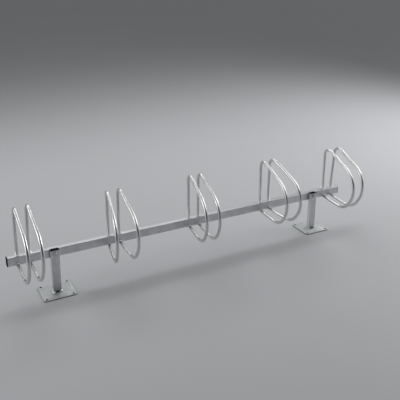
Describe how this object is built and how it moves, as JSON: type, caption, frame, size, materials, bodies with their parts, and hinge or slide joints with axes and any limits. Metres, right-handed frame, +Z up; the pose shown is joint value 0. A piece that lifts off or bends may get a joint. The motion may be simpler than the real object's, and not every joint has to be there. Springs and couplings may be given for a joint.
{
  "type": "bike rack",
  "caption": "Floor-standing bike rack: a rectangular steel beam on short bolted posts with base plates, carrying pairs of bent round-tube hoops that hold a bicycle's front wheel.",
  "frame": {"origin": "the middle of the rack's extents, on the floor under the base plates", "axes": "+X along the beam, to the right when seen from the side that bicycles come in from; -Y towards the bicycles; +Z up"},
  "size_m": [1.9986, 0.3246, 0.4976],
  "materials": {
    "hoop_zinc": "bright zinc on smooth round tube",
    "beam_zinc": "satin zinc, faintly mottled",
    "plate_zinc": "matt pale zinc",
    "weld_zinc": "rough weld metal under zinc",
    "fastener_zinc": "zinc-plated fastener",
    "cap_plastic": "black moulded plastic"
  },
  "bodies": {
    "root": {"base_plate_left": "plate_zinc", "base_plate_right": "plate_zinc", "beam": "beam_zinc", "bolt_left": "fastener_zinc", "bolt_right": "fastener_zinc", "end_cap_left": "cap_plastic", "end_cap_right": "cap_plastic", "front_washer_left": "fastener_zinc", "front_washer_right": "fastener_zinc", "front_weld_1_left": "weld_zinc", "front_weld_1_right": "weld_zinc", "front_weld_2_left": "weld_zinc", "front_weld_2_right": "weld_zinc", "front_weld_3_left": "weld_zinc", "front_weld_3_right": "weld_zinc", "front_weld_4_left": "weld_zinc", "front_weld_4_right": "weld_zinc", "front_weld_5_left": "weld_zinc", "front_weld_5_right": "weld_zinc", "hoop_1_left": "hoop_zinc", "hoop_1_right": "hoop_zinc", "hoop_2_left": "hoop_zinc", "hoop_2_right": "hoop_zinc", "hoop_3_left": "hoop_zinc", "hoop_3_right": "hoop_zinc", "hoop_4_left": "hoop_zinc", "hoop_4_right": "hoop_zinc", "hoop_5_left": "hoop_zinc", "hoop_5_right": "hoop_zinc", "nut_left": "fastener_zinc", "nut_right": "fastener_zinc", "post_cap_left": "cap_plastic", "post_cap_right": "cap_plastic", "post_foot_weld_left": "weld_zinc", "post_foot_weld_right": "weld_zinc", "post_left": "beam_zinc", "post_right": "beam_zinc", "rear_washer_left": "fastener_zinc", "rear_washer_right": "fastener_zinc", "top_weld_1_left": "weld_zinc", "top_weld_1_right": "weld_zinc", "top_weld_2_left": "weld_zinc", "top_weld_2_right": "weld_zinc", "top_weld_3_left": "weld_zinc", "top_weld_3_right": "weld_zinc", "top_weld_4_left": "weld_zinc", "top_weld_4_right": "weld_zinc", "top_weld_5_left": "weld_zinc", "top_weld_5_right": "weld_zinc"}
  },
  "joints": []
}
